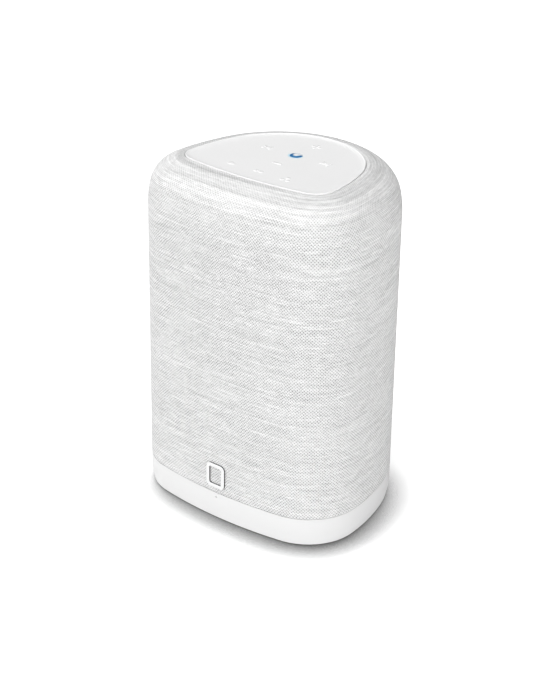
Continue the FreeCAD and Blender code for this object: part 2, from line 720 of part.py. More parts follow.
def woofer():
    screws = around(d.woofer_screw_circle.value, 6, math.pi / 6)
    gasket = turned("woofer_gasket", ring_section(50.5, d.woofer_rim - 0.5, 0, 1))
    plate(gasket, 0, 1, lambda s: circles(s, screws, 1.4), cut=True)
    basket = turned("woofer_basket", [
        (49, 3), (d.woofer_rim, 3), (d.woofer_rim, 1), (50, 1), (50, -6), (31, -27), (31, -31),
        (17, -31), (17, -29), (29, -29), (29, -26.2), (48, -5.2), (48, 2)])
    plate(basket, 1, 3, lambda s: circles(s, screws, 1.4), cut=True)
    doc.recompute()
    window = new_sketch(basket, "XZ_Plane")
    rectangle(window, 30, -26, 52, -6)
    first = extrude(basket, window, 22, cut=True, both=True)
    ring_of(basket, first, 6)
    turned("woofer_top_plate", ring_section(13.6, 30, -35, -31))
    turned("woofer_magnet", ring_section(18, 34, -49, -35))
    turned("woofer_pole_and_back_plate", [
        (4, -54), (32, -54), (32, -49), (12.2, -49), (12.2, -31), (4, -31)])
    turned("woofer_voice_coil", ring_section(12.6, 13.2, -41, -15))
    folds = 8
    steps = [(13.5 + (30.2 - 13.5) * i / folds, -24 + 1.2 * (i % 2)) for i in range(folds + 1)]
    turned("woofer_spider", steps + [(x, z + 0.5) for x, z in reversed(steps)])
    turned("woofer_cone", [
        (13.25, -17), (14.4, -17), (38.4, 1.7), (41.2, 1.7), (41.2, 2.7), (38, 2.7), (13.25, -15.8)])
    turned("woofer_dust_cap", [(0, -6.6), (0, -7.3), (15.4, -14), (16.4, -13.2)],
           {1: ball_radius(15.4, 6.7), 3: -ball_radius(16.4, 6.6)})
    turned("woofer_surround", [
        (38.3, 3), (41.4, 3), (48.6, 3), (52, 3), (52, 3.8), (49.33, 3.8), (40.67, 3.8), (38.3, 3.8)],
        {1: 3.65, 5: -4.4})
    fasteners = new_body("woofer_screws")
    plate(fasteners, -5, 3, lambda s: circles(s, screws, 1.15))
    plate(fasteners, 3, 4.6, lambda s: circles(s, screws, 2.4))
    stand_on_baffle(fasteners, 0, d.woofer_z)


def tweeter(side, x):
    dome = d.dome_radius.value
    motor = new_body(side + "_tweeter_motor")
    revolve(motor, lambda s: outline(s, [
        (0, -18), (18, -18), (18, 0), (dome + 1, 0), (dome + 1, -8), (dome - 1, -8), (dome - 1, 0),
        (0, 0)]))
    face = new_body(side + "_tweeter_faceplate")
    revolve(face, lambda s: outline(s, [
        (dome + 1.6, 0), (d.tweeter_rim, 0), (d.tweeter_rim, 3), (dome + 5, 3)]))
    cap = new_body(side + "_tweeter_dome")
    revolve(cap, lambda s: outline(s, [
        (0, 5.1), (0, 4.6), (dome - 0.5, 0.6), (dome - 0.5, -5), (dome, -5), (dome, 0.6)],
        {1: ball_radius(dome - 0.5, 4), 5: -ball_radius(dome, 4.5)}))
    for body in (motor, face, cap):
        stand_on_baffle(body, x, d.tweeter_z)


# ---------------------------------------------------------------- build, check and write
fabric_sleeve()
grille_shell()
top_panel()
status_light()
front_badge()
base_skirt()
bottom_cover()
foot_pad()
bottom_screws()
microphone()
connector_tray()
mains_inlet()
network_socket()
usb_socket()
audio_socket()
setup_button()
main_board()
board_parts()
top_electronics()
ribbon_cable()
cabinet()
woofer()
tweeter("left", -d.tweeter_x)
tweeter("right", d.tweeter_x)
doc.recompute()

faults = ["%s: %s" % (o.Label, o.State) for o in doc.Objects
          if "Invalid" in o.State or "Error" in o.State]
bodies = [o for o in doc.Objects if o.TypeId == "PartDesign::Body"]
for body in bodies:
    if body.Shape.isNull() or not body.Shape.isValid() or body.Shape.Volume <= 0:
        faults.append("%s: bad shape" % body.Label)
if faults:
    raise RuntimeError("; ".join(faults))
for body in bodies:
    body.Shape.exportStep(os.path.join("parts", body.Label + ".step"))
    box = body.Shape.BoundBox
    print("%-28s %d solids %9.0f mm3  x %.1f..%.1f y %.1f..%.1f z %.1f..%.1f" % (
        body.Label, len(body.Shape.Solids), body.Shape.Volume,
        box.XMin, box.XMax, box.YMin, box.YMax, box.ZMin, box.ZMax))
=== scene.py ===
# Looks for a fabric-covered wireless speaker: cover, touch panel, base, connectors, light and camera.
import bpy
import bmesh
import json
import math
from mathutils import Matrix, Vector


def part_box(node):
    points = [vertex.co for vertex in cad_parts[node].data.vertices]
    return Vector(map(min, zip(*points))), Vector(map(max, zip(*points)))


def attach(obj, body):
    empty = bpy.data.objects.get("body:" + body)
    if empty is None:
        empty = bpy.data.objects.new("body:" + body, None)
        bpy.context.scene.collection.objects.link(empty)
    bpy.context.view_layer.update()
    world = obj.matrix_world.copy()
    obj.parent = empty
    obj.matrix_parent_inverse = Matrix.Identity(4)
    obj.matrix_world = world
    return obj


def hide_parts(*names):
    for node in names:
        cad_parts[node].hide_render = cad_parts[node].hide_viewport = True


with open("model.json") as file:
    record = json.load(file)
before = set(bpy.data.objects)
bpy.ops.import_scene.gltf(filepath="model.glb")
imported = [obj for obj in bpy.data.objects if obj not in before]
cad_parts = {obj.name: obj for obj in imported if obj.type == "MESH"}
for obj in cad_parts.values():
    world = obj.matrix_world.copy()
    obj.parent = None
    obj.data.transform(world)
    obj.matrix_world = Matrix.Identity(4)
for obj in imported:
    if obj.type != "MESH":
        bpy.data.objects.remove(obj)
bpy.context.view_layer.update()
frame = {"nodes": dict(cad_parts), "record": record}

MM = 0.001
ROOT = "speaker"


def corners(node):
    """A node's box in millimetres: its low corner and its high corner."""
    return [[c / MM for c in corner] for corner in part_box(node)]


def middle_of(node):
    low, high = corners(node)
    return [(a + b) / 2 for a, b in zip(low, high)]


# ---------------------------------------------------------------- the footprint, worked out from the frame
base_low, base_high = corners("base_skirt")
cover_high = corners("fabric_sleeve")[1][2]
panel_low, panel_high = corners("top_panel")
CORNER_RADIUS, CORNER_X, CORNER_Y = 40.5, 46.5, -30.1
REAR_RADIUS, REAR_Y = 83.0, -7.6
FRONT_RADIUS, SIDE_RADIUS = 315.0, 165.0
FRONT_CENTRE = CORNER_Y + math.sqrt((FRONT_RADIUS - CORNER_RADIUS) ** 2 - CORNER_X ** 2)
FRONT_Y = FRONT_CENTRE - FRONT_RADIUS
SEAM_Z = base_high[2]
EDGE_INSET, EDGE_RADIUS, SHOULDER_RADIUS = 25.5, 24.5, 70.0   # the cover's top edge and its two arcs
STATIONS = 320                                                # points round the outline


def side_centre():
    """The centre of the right side's arc, from its distances to the corner's and the rear's centres."""
    corner, rear = Vector((CORNER_X, CORNER_Y)), Vector((0, REAR_Y))
    gap = rear - corner
    to_corner, to_rear = SIDE_RADIUS - CORNER_RADIUS, SIDE_RADIUS - REAR_RADIUS
    along = (to_corner ** 2 - to_rear ** 2 + gap.length ** 2) / (2 * gap.length)
    across = math.sqrt(to_corner ** 2 - along ** 2)
    unit = gap.normalized()
    return corner + unit * along + Vector((-unit.y, unit.x)) * across


def footprint_rays(count):
    """Evenly spaced places round the outline, from the middle of the back: (arc centre, radius, heading)."""
    side, corner = side_centre(), Vector((CORNER_X, CORNER_Y))
    rear, front = Vector((0, REAR_Y)), Vector((0, FRONT_CENTRE))

    def heading(start, end):
        return math.atan2(end.y - start.y, end.x - start.x)

    at_front, at_side, at_rear = heading(front, corner), heading(side, corner), heading(side, rear)
    right = [(rear, REAR_RADIUS, math.pi / 2, at_rear), (side, SIDE_RADIUS, at_rear, at_side),
             (corner, CORNER_RADIUS, at_side, at_front), (front, FRONT_RADIUS, at_front, -math.pi / 2)]
    left = [(Vector((-c.x, c.y)), r, math.pi - b, math.pi - a) for c, r, a, b in reversed(right)]
    arcs = right + left
    lengths = [r * abs(b - a) for _, r, a, b in arcs]
    total, rays, arc, done = sum(lengths), [], 0, 0.0
    for i in range(count):
        reach = total * i / count
        while reach > done + lengths[arc]:
            done += lengths[arc]
            arc += 1
        centre, radius, start, end = arcs[arc]
        rays.append((centre, radius, start + (end - start) * (reach - done) / lengths[arc]))
    return rays, total


RAYS, GIRTH = footprint_rays(STATIONS)


def place(station, inset, z):
    """A point of the outline moved in by inset, at height z; all in millimetres, given in metres."""
    centre, radius, angle = RAYS[station % STATIONS]
    reach = radius - inset
    x, y = centre.x + reach * math.cos(angle), centre.y + reach * math.sin(angle)
    return Vector((x, y, z)) * MM


# ---------------------------------------------------------------- modelling helpers
def only(piece):
    """Make this the one selected and active object."""
    bpy.ops.object.select_all(action="DESELECT")
    piece.select_set(True)
    bpy.context.view_layer.objects.active = piece


def fresh(name):
    """Name the object that an operator has just added, with its place in its mesh."""
    piece = bpy.context.object
    piece.name = piece.data.name = name
    bpy.ops.object.transform_apply(location=True, rotation=True, scale=True)
    return piece


def edit(piece):
    """Enter edit mode with nothing selected and give the edit mesh."""
    only(piece)
    bpy.ops.object.mode_set(mode="EDIT")
    bpy.ops.mesh.select_all(action="DESELECT")
    return bmesh.from_edit_mesh(piece.data)


def leave():
    bpy.ops.object.mode_set(mode="OBJECT")


def apply_all(piece):
    only(piece)
    for modifier in list(piece.modifiers):
        bpy.ops.object.modifier_apply(modifier=modifier.name)


def smooth(piece, angle=40):
    only(piece)
    bpy.ops.object.shade_smooth_by_angle(angle=math.radians(angle))


def tidy_normals(piece):
    edit(piece)
    bpy.ops.mesh.select_all(action="SELECT")
    bpy.ops.mesh.remove_doubles(threshold=1e-6)
    bpy.ops.mesh.normals_make_consistent(inside=False)
    leave()


def wrap(name, rings, loop=False):
    """Skin over rings that follow the footprint, each (inset, height); loop joins the last to the first."""
    bpy.ops.object.select_all(action="DESELECT")
    bpy.ops.mesh.primitive_circle_add(vertices=STATIONS, radius=0.1)
    piece = fresh(name)
    mesh = edit(piece)
    station = mesh.verts.layers.int.new("station")
    mesh.verts.layers.int.new("ring")
    mesh.verts.ensure_lookup_table()
    inset, z = rings[0]
    for i, vertex in enumerate(mesh.verts):
        vertex[station] = i
        vertex.co = place(i, inset, z)
    bpy.ops.mesh.select_all(action="SELECT")
    for number, (inset, z) in enumerate(rings[1:], 1):
        bpy.ops.mesh.extrude_edges_move()
        mesh = bmesh.from_edit_mesh(piece.data)
        station, ring = [mesh.verts.layers.int[n] for n in ("station", "ring")]
        for vertex in mesh.verts:
            if vertex.select:
                vertex.co = place(vertex[station], inset, z)
                vertex[ring] = number
    if loop:
        for edge in mesh.edges:
            edge.select = edge.is_boundary
        bpy.ops.mesh.bridge_edge_loops()
    leave()
    return piece


def fill_ends(piece):
    """Close the two open rims of a wrapped skin with flat faces."""
    mesh = edit(piece)
    ring = mesh.verts.layers.int["ring"]
    last = max(v[ring] for v in mesh.verts)
    for number in (0, last):
        rim = [e for e in mesh.edges if e.is_boundary and all(v[ring] == number for v in e.verts)]
        bmesh.ops.contextual_create(mesh, geom=rim)
    bmesh.update_edit_mesh(piece.data)
    leave()


def arc(centre_inset, centre_z, radius, start, end, steps):
    """Ring places along a round stretch of a section; angles in degrees, 0 inwards and 90 up."""
    turns = [math.radians(start + (end - start) * i / steps) for i in range(steps + 1)]
    return [(centre_inset + radius * math.cos(t), centre_z + radius * math.sin(t)) for t in turns]


def straight(start, end, steps):
    return [tuple(a + (b - a) * i / steps for a, b in zip(start, end)) for i in range(steps + 1)]


def bored(piece, cutters):
    """Cut the cutters out of the piece and delete them."""
    for cutter in cutters:
        cut = piece.modifiers.new("bore", "BOOLEAN")
        cut.operation, cut.solver, cut.object = "DIFFERENCE", "EXACT", cutter
    apply_all(piece)
    for cutter in cutters:
        bpy.data.objects.remove(cutter)


def bevelled(piece, width, segments=3, angle=35):
    bevel = piece.modifiers.new("bevel", "BEVEL")
    bevel.width, bevel.segments, bevel.limit_method = width * MM, segments, "ANGLE"
    bevel.angle_limit = math.radians(angle)
    apply_all(piece)
    smooth(piece)
    return piece


def block(name, low, high):
    """A box between two corners, in millimetres."""
    bpy.ops.object.select_all(action="DESELECT")
    middle = [(a + b) / 2 * MM for a, b in zip(low, high)]
    bpy.ops.mesh.primitive_cube_add(size=1, location=middle,
                                    scale=[(b - a) * MM for a, b in zip(low, high)])
    return fresh(name)


def rod(name, x, y, z, radius, length, along="Z", sides=48):
    """A cylinder from a point along an axis, in millimetres."""
    bpy.ops.object.select_all(action="DESELECT")
    turn = {"Z": (0, 0, 0), "Y": (math.pi / 2, 0, 0)}[along]
    spot = Vector((x, y, z))
    spot["XYZ".index(along)] += length / 2
    bpy.ops.mesh.primitive_cylinder_add(vertices=sides, radius=radius * MM, depth=abs(length) * MM,
                                        location=spot * MM, rotation=turn)
    return fresh(name)


def settle(piece, material, slot_name, *nodes, body=ROOT):
    """Finish a piece: its material, the nodes that it stands for and the body it rides on; slot_name is not
    used.
    """
    piece.data.materials.clear()
    piece.data.materials.append(material)
    if nodes:
        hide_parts(*nodes)
    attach(piece, body)


# ---------------------------------------------------------------- shader helpers
def add(tree, kind, settings=None, **inputs):
    """Add a node; keywords set its inputs by name, with _ for a space, from a value or an output."""
    made = tree.nodes.new(kind)
    for key, value in (settings or {}).items():
        setattr(made, key, value)
    for key, value in inputs.items():
        socket = made.inputs[int(key[1:])] if key[0] == "i" and key[1:].isdigit() \
            else made.inputs[key.replace("_", " ")]
        if isinstance(value, bpy.types.NodeSocket):
            tree.links.new(value, socket)
        else:
            socket.default_value = value
    return made


def maths(tree, operation, a, b=0.0, c=0.0, clamp=False):
    settings = {"operation": operation, "use_clamp": clamp}
    return add(tree, "ShaderNodeMath", settings, i0=a, i1=b, i2=c).outputs[0]


def blend_colour(tree, factor, a, b):
    mixed = add(tree, "ShaderNodeMix", {"data_type": "RGBA"}, i0=factor, i6=a, i7=b)
    return mixed.outputs[2]


def rescale(tree, value, low, high, to_low, to_high):
    made = add(tree, "ShaderNodeMapRange", {"clamp": True}, Value=value, From_Min=low, From_Max=high,
               To_Min=to_low, To_Max=to_high)
    return made.outputs[0]


def stretched_noise(tree, coordinates, scale, detail=2.0, roughness=0.5):
    """Noise whose grains are 1/scale metres long in each direction."""
    mapped = add(tree, "ShaderNodeMapping", Vector=coordinates, Scale=scale)
    return add(tree, "ShaderNodeTexNoise", Vector=mapped.outputs[0], Scale=1.0, Detail=detail,
               Roughness=roughness).outputs[0]


def new_group(name, inputs, outputs):
    """An empty node group with named sockets; gives its tree and its input and output nodes."""
    tree = bpy.data.node_groups.new(name, "ShaderNodeTree")
    for in_out, sockets in (("INPUT", inputs), ("OUTPUT", outputs)):
        for socket_name, kind, *value in sockets:
            socket = tree.interface.new_socket(socket_name, in_out=in_out, socket_type="NodeSocket" + kind)
            if value:
                socket.default_value = value[0]
    return tree, tree.nodes.new("NodeGroupInput"), tree.nodes.new("NodeGroupOutput")


def moulded_group():
    """Spark-eroded mould grain with slow drifts of tone and gloss."""
    tree, given, out = new_group(
        "moulded surface",
        [("Colour", "Color", (0.8, 0.8, 0.8, 1)), ("Grain per metre", "Float", 2500.0),
         ("Grain depth", "Float", 0.00002), ("Roughness", "Float", 0.4), ("Drift", "Float", 0.04)],
        [("Colour", "Color"), ("Roughness", "Float"), ("Normal", "Vector")])
    here = add(tree, "ShaderNodeTexCoord").outputs["Object"]
    grain = add(tree, "ShaderNodeTexNoise", Vector=here, Scale=given.outputs["Grain per metre"],
                Detail=3.0).outputs[0]
    slow = add(tree, "ShaderNodeTexNoise", Vector=here, Scale=28.0, Detail=4.0).outputs[0]
    swing = maths(tree, "MULTIPLY", maths(tree, "SUBTRACT", slow, 0.5), given.outputs["Drift"])
    tone = maths(tree, "ADD", 1.0, swing)
    tinted = add(tree, "ShaderNodeVectorMath", {"operation": "SCALE"}, Vector=given.outputs["Colour"],
                 Scale=tone)
    rough = maths(tree, "ADD", given.outputs["Roughness"],
                  maths(tree, "MULTIPLY", maths(tree, "SUBTRACT", slow, 0.5), 0.16))
    bump = add(tree, "ShaderNodeBump", Height=grain, Distance=given.outputs["Grain depth"], Strength=1.0)
    tree.links.new(tinted.outputs[0], out.inputs["Colour"])
    tree.links.new(rough, out.inputs["Roughness"])
    tree.links.new(bump.outputs[0], out.inputs["Normal"])
    return tree


STITCH, SWAY = 0.0023, 0.003                             # one stitch's width, and how far a course wanders
LONG_SLUB, SHORT_SLUB, COURSE_RUN = 0.032, 0.0055, 0.16  # lengths of the yarn's thick and thin places
OVER_SHOULDER = (0.203, 0.232)                           # heights over which the cloth is pulled tighter
HOLLOW_TONE, YARN_TONE = 0.70, 0.14                      # how dark a hollow is, and the yarn itself


def knit_group(girth):
    """A fine knit of slubbed yarn; coordinates are metres round and up the cover."""
    tree, given, out = new_group(
        "slub knit",
        [("Coordinates", "Vector"), ("Stitch", "Float", STITCH), ("Light", "Color"), ("Dark", "Color")],
        [("Colour", "Color"), ("Height", "Float"), ("Roughness", "Float")])
    spot = given.outputs["Coordinates"]
    parts = add(tree, "ShaderNodeSeparateXYZ", Vector=spot)
    sway = maths(tree, "MULTIPLY", stretched_noise(tree, spot, (9, 30, 1), 1.0), SWAY)
    around, up = parts.outputs[0], maths(tree, "ADD", parts.outputs[1], sway)
    half_stitch = maths(tree, "MULTIPLY", given.outputs["Stitch"], 0.5)
    course = maths(tree, "FLOOR", maths(tree, "DIVIDE", up, half_stitch))

    def yarn(reach, seed, detail=2.0):
        """Thick and thin places, reach metres long, that each course has for itself."""
        row = maths(tree, "MULTIPLY_ADD", course, 7.31, seed)
        along = maths(tree, "DIVIDE", around, reach)
        place_on = add(tree, "ShaderNodeCombineXYZ", X=along, Y=row)
        return add(tree, "ShaderNodeTexNoise", Vector=place_on.outputs[0], Scale=1.0, Detail=detail,
                   Roughness=0.6).outputs[0]

    count = maths(tree, "ROUND", maths(tree, "DIVIDE", girth * MM, given.outputs["Stitch"]))
    slip = add(tree, "ShaderNodeTexWhiteNoise", {"noise_dimensions": "1D"}, W=course).outputs[0]
    per_metre = maths(tree, "MULTIPLY", count, 2 * math.pi / (girth * MM))
    turn_around = maths(tree, "MULTIPLY", around, per_metre)
    turn_around = maths(tree, "MULTIPLY_ADD", slip, 1.5, turn_around)
    turn_up = maths(tree, "MULTIPLY", up, maths(tree, "DIVIDE", 2 * math.pi, given.outputs["Stitch"]))
    weave = maths(tree, "MULTIPLY", maths(tree, "COSINE", turn_around), maths(tree, "COSINE", turn_up))
    ridge = maths(tree, "ABSOLUTE", maths(tree, "COSINE", turn_up))
    long_slub, short_slub = yarn(LONG_SLUB, 0.0), yarn(SHORT_SLUB, 40.0)
    course_tone = yarn(COURSE_RUN, 90.0, 1.0)
    band = stretched_noise(tree, spot, (30, 520, 1), 3.0, 0.65)
    patch = stretched_noise(tree, spot, (18, 70, 1), 2.0)
    calm = maths(tree, "MAXIMUM", rescale(tree, band, 0.56, 0.72, 0.0, 1.0),
                 rescale(tree, long_slub, 0.58, 0.74, 0.0, 0.9))
    calm = maths(tree, "MAXIMUM", calm, rescale(tree, patch, 0.5, 0.66, 0.0, 0.35))
    strength = maths(tree, "SUBTRACT", 1.0, maths(tree, "MULTIPLY", calm, 0.65))
    pulled = rescale(tree, up, *OVER_SHOULDER, 0.0, 1.0)     # the stitches close up there
    open_still = maths(tree, "SUBTRACT", 1.0, maths(tree, "MULTIPLY", pulled, 0.55))
    strength = maths(tree, "MULTIPLY", strength, open_still)
    strength = maths(tree, "MULTIPLY", strength, rescale(tree, short_slub, 0.35, 0.65, 1.1, 0.8))
    hollow = maths(tree, "MULTIPLY", rescale(tree, weave, -0.85, -0.1, 1.0, 0.0), strength)
    tone = maths(tree, "ADD", rescale(tree, long_slub, 0.3, 0.7, -0.075, 0.075),
                 rescale(tree, short_slub, 0.3, 0.7, -0.07, 0.07))
    tone = maths(tree, "ADD", tone, rescale(tree, band, 0.3, 0.7, -0.03, 0.03))
    course_tone = rescale(tree, course_tone, 0.3, 0.7, -0.035, 0.035)
    course_tone = maths(tree, "MULTIPLY", course_tone, maths(tree, "MULTIPLY_ADD", pulled, 4.0, 1.0))
    tone = maths(tree, "ADD", tone, maths(tree, "MULTIPLY_ADD", pulled, -0.09, course_tone))
    dark = maths(tree, "ADD", maths(tree, "MULTIPLY", hollow, HOLLOW_TONE),
                 maths(tree, "SUBTRACT", YARN_TONE, tone), clamp=True)
    colour = blend_colour(tree, dark, given.outputs["Light"], given.outputs["Dark"])
    fuzz = add(tree, "ShaderNodeTexNoise", Vector=spot, Scale=2600.0, Detail=2.0).outputs[0]
    height = maths(tree, "MULTIPLY_ADD", weave, strength, maths(tree, "MULTIPLY", ridge, 0.5))
    height = maths(tree, "ADD", height, maths(tree, "MULTIPLY", maths(tree, "ADD", long_slub, fuzz), 0.6))
    tree.links.new(colour, out.inputs["Colour"])
    tree.links.new(height, out.inputs["Height"])
    tree.links.new(rescale(tree, hollow, 0.0, 1.0, 0.78, 0.95), out.inputs["Roughness"])
    return tree


def painted_glow_group():
    """The light's painted glow: from 1 at Near to 0 at Far from its upright axis, on the near side."""
    tree, given, out = new_group("painted_glow", [("Centre Y", "Float"), ("Near", "Float"), ("Far", "Float")],
                                 [("Amount", "Float")])
    here = add(tree, "ShaderNodeSeparateXYZ", Vector=add(tree, "ShaderNodeTexCoord").outputs["Object"])
    depth = maths(tree, "SUBTRACT", here.outputs[1], given.outputs["Centre Y"])
    across = maths(tree, "MULTIPLY", here.outputs[0], here.outputs[0])
    reach = maths(tree, "SQRT", maths(tree, "MULTIPLY_ADD", depth, depth, across))
    near_side = rescale(tree, depth, -0.001, 0.0028, 1.0, 0.0)
    fade = add(tree, "ShaderNodeMapRange", {"clamp": True}, Value=reach, From_Min=given.outputs["Near"],
               From_Max=given.outputs["Far"], To_Min=1.0, To_Max=0.0)
    tree.links.new(maths(tree, "MULTIPLY", fade.outputs[0], near_side), out.inputs["Amount"])
    return tree


MOULDED = moulded_group()
KNIT = knit_group(GIRTH)
# mask for the status light's glow, which is painted onto the panel and the pad
PAINTED_GLOW = painted_glow_group()
LIGHT_Y, LIGHT_TOP = middle_of("status_light_ring")[1], corners("status_light_ring")[1][2]


def new_material(name):
    material = bpy.data.materials.new(name)
    material.use_nodes = True
    tree = material.node_tree
    return material, tree, tree.nodes["Principled BSDF"]


def moulded(name, colour, roughness=0.4, grain=2500.0, depth=0.00002, drift=0.04, metal=0.0, coat=0.0,
            painted_glow=None):
    """A moulded, cast or pressed finish; glow (near, far, tint) paints light on it, from near to far of the
    light.
    """
    material, tree, shader = new_material(name)
    made = add(tree, "ShaderNodeGroup", {"node_tree": MOULDED})
    for socket, value in (("Colour", (*colour, 1)), ("Grain per metre", grain), ("Grain depth", depth),
                          ("Roughness", roughness), ("Drift", drift)):
        made.inputs[socket].default_value = value
    tone = made.outputs["Colour"]
    if painted_glow:
        # painted light: the status light's glow, blended into the finish's colour on its near side
        glow = add(tree, "ShaderNodeGroup", {"node_tree": PAINTED_GLOW})
        for socket, value in (("Centre Y", LIGHT_Y), ("Near", painted_glow[0]), ("Far", painted_glow[1])):
            glow.inputs[socket].default_value = value * MM
        tone = blend_colour(tree, glow.outputs[0], tone, painted_glow[2])
    tree.links.new(tone, shader.inputs["Base Color"])
    tree.links.new(made.outputs["Roughness"], shader.inputs["Roughness"])
    tree.links.new(made.outputs["Normal"], shader.inputs["Normal"])
    shader.inputs["Metallic"].default_value = metal
    shader.inputs["Coat Weight"].default_value = coat
    return material


def knit_material():
    material, tree, shader = new_material("slub knit cover")
    flat = add(tree, "ShaderNodeUVMap", {"uv_map": "cloth"})
    made = add(tree, "ShaderNodeGroup", {"node_tree": KNIT}, Coordinates=flat.outputs[0],
               Light=(0.885, 0.885, 0.885, 1), Dark=(0.13, 0.13, 0.13, 1))
    bump = add(tree, "ShaderNodeBump", Height=made.outputs["Height"], Distance=0.00022, Strength=0.6)
    tree.links.new(made.outputs["Colour"], shader.inputs["Base Color"])
    tree.links.new(made.outputs["Roughness"], shader.inputs["Roughness"])
    tree.links.new(bump.outputs[0], shader.inputs["Normal"])
    shader.inputs["Sheen Weight"].default_value = 0.05
    shader.inputs["Sheen Roughness"].default_value = 0.6
    shader.inputs["Specular IOR Level"].default_value = 0.2
    return material


def light_ring_material():
    """Blue lens, lit round the near three quarters and fading to white at the far side."""
    material, tree, shader = new_material("lit ring lens")
    here = add(tree, "ShaderNodeTexCoord").outputs["Object"]
    spot = add(tree, "ShaderNodeSeparateXYZ", Vector=here)
    far = rescale(tree, spot.outputs[1], (LIGHT_Y + 1.2) * MM, (LIGHT_Y + 2.6) * MM, 0.0, 1.0)
    glow = add(tree, "ShaderNodeTexNoise", Vector=here, Scale=900.0).outputs[0]
    blue = blend_colour(tree, rescale(tree, glow, 0.3, 0.7, 0.0, 0.35), (0.002, 0.10, 0.27, 1),
                        (0.005, 0.15, 0.36, 1))
    tree.links.new(blend_colour(tree, far, blue, (0.8, 0.85, 0.88, 1)), shader.inputs["Base Color"])
    tree.links.new(blend_colour(tree, far, (0.0, 0.05, 0.16, 1), (0.0, 0.0, 0.0, 1)),
                   shader.inputs["Emission Color"])
    shader.inputs["Emission Strength"].default_value = 0.35
    shader.inputs["Roughness"].default_value = 0.22
    return material


def finishes():
    """One procedural material for each of the record's slots."""
    return {
        "fabric": knit_material(),
        "white_shell": moulded("white base plastic", (0.76, 0.76, 0.76), 0.42, 2200, 0.000012, 0.02),
        # the panel and the touch pad carry the status light's painted glow, blue round the ring on the near
        # side
        "panel_white": moulded("white panel plastic with painted glow", (0.89, 0.89, 0.89), 0.38, 3000, 0.000008, 0.02,
                               painted_glow=(4.5, 6.4, (0.42, 0.74, 0.90, 1))),
        "touch_white": moulded("gloss white mark", (0.97, 0.97, 0.97), 0.2, 3500, 0.000004, 0.02,
                               coat=0.3),
        "pad_white": moulded("gloss white touch pad with painted glow", (0.95, 0.96, 0.97), 0.2, 3500, 0.000004, 0.02,
                             coat=0.3, painted_glow=(2.6, 1.3, (0.01, 0.20, 0.44, 1))),
        "light_blue": light_ring_material(),
        "badge_white": moulded("gloss white badge", (0.86, 0.86, 0.86), 0.22, 3500, 0.000004, 0.02,
                               coat=0.4),
        "dark_plastic": moulded("black plastic", (0.022, 0.022, 0.024), 0.46, 2600, 0.00003, 0.3),
        "button_grey": moulded("grey button plastic", (0.36, 0.36, 0.37), 0.4, 2600, 0.00001, 0.08),
        "rubber": moulded("black rubber", (0.028, 0.028, 0.028), 0.72, 1500, 0.00005, 0.3),
        "steel": moulded("zinc plated steel", (0.62, 0.62, 0.64), 0.3, 1800, 0.00001, 0.15, metal=1.0),
        "ferrite": moulded("ferrite", (0.06, 0.06, 0.064), 0.55, 900, 0.00006, 0.4),
        "aluminium": moulded("bare aluminium", (0.72, 0.72, 0.74), 0.34, 2000, 0.00001, 0.1, metal=1.0),
        "gold": moulded("gold plated contact", (0.83, 0.60, 0.24), 0.25, 2400, 0.000005, 0.1, metal=1.0),
        "copper": moulded("enamelled copper", (0.62, 0.26, 0.1), 0.3, 2400, 0.00004, 0.25, metal=0.8),
        "circuit_green": moulded("green circuit board", (0.02, 0.14, 0.06), 0.35, 1200, 0.00003, 0.5,
                                 coat=0.4),
        "ribbon": moulded("white flat cable", (0.72, 0.72, 0.7), 0.45, 1600, 0.00002, 0.08),
        "led": moulded("clear light source", (0.75, 0.85, 0.95), 0.2, 3000, 0.000004, 0.05, coat=0.5),
        "paper": moulded("black pressed paper", (0.03, 0.03, 0.032), 0.8, 1400, 0.00008, 0.5),
        "silk": moulded("treated cloth", (0.1, 0.1, 0.11), 0.75, 2800, 0.00008, 0.3),
    }


FINISH = finishes()


def dress_cad_nodes():
    """Give every CAD node its slot's finish."""
    for part in frame["record"]["subparts"]:
        node = frame["nodes"][part["node"]]
        node.data.materials.clear()
        node.data.materials.append(FINISH[part["material_slot"]])


# ---------------------------------------------------------------- the pieces
def shoulder(low, top, steps):
    """The cover's section from low to its top edge."""
    edge_z = top - EDGE_RADIUS
    drop = math.sqrt((SHOULDER_RADIUS - EDGE_RADIUS) ** 2 - (SHOULDER_RADIUS - EDGE_INSET) ** 2)
    turn = 180 - math.degrees(math.atan2(drop, SHOULDER_RADIUS - EDGE_INSET))
    wall = straight((0, low), (0, edge_z - drop), steps * 3)
    lower = arc(SHOULDER_RADIUS, edge_z - drop, SHOULDER_RADIUS, 180, turn, steps)
    upper = arc(EDGE_INSET, edge_z, EDGE_RADIUS, turn, 90, steps * 2)
    return wall + lower[1:] + upper[1:]


def lay_cloth_map(piece, rings):
    """Map the skin flat, in metres: round the body from the back seam, and up along the section."""
    rise = [0.0]
    for (inset_a, z_a), (inset_b, z_b) in zip(rings, rings[1:]):
        rise.append(rise[-1] + math.hypot(inset_b - inset_a, z_b - z_a) * MM)
    mesh = edit(piece)
    cloth = mesh.loops.layers.uv.new("cloth")
    station, ring = [mesh.verts.layers.int[n] for n in ("station", "ring")]
    for face in mesh.faces:
        wraps = max(v[station] for v in face.verts) - min(v[station] for v in face.verts) > STATIONS / 2
        for corner in face.loops:
            at = corner.vert[station]
            at += STATIONS if wraps and at == 0 else 0
            corner[cloth].uv = (at / STATIONS * GIRTH * MM, rise[corner.vert[ring]])
    bmesh.update_edit_mesh(piece.data)
    leave()
    return rise[-1]


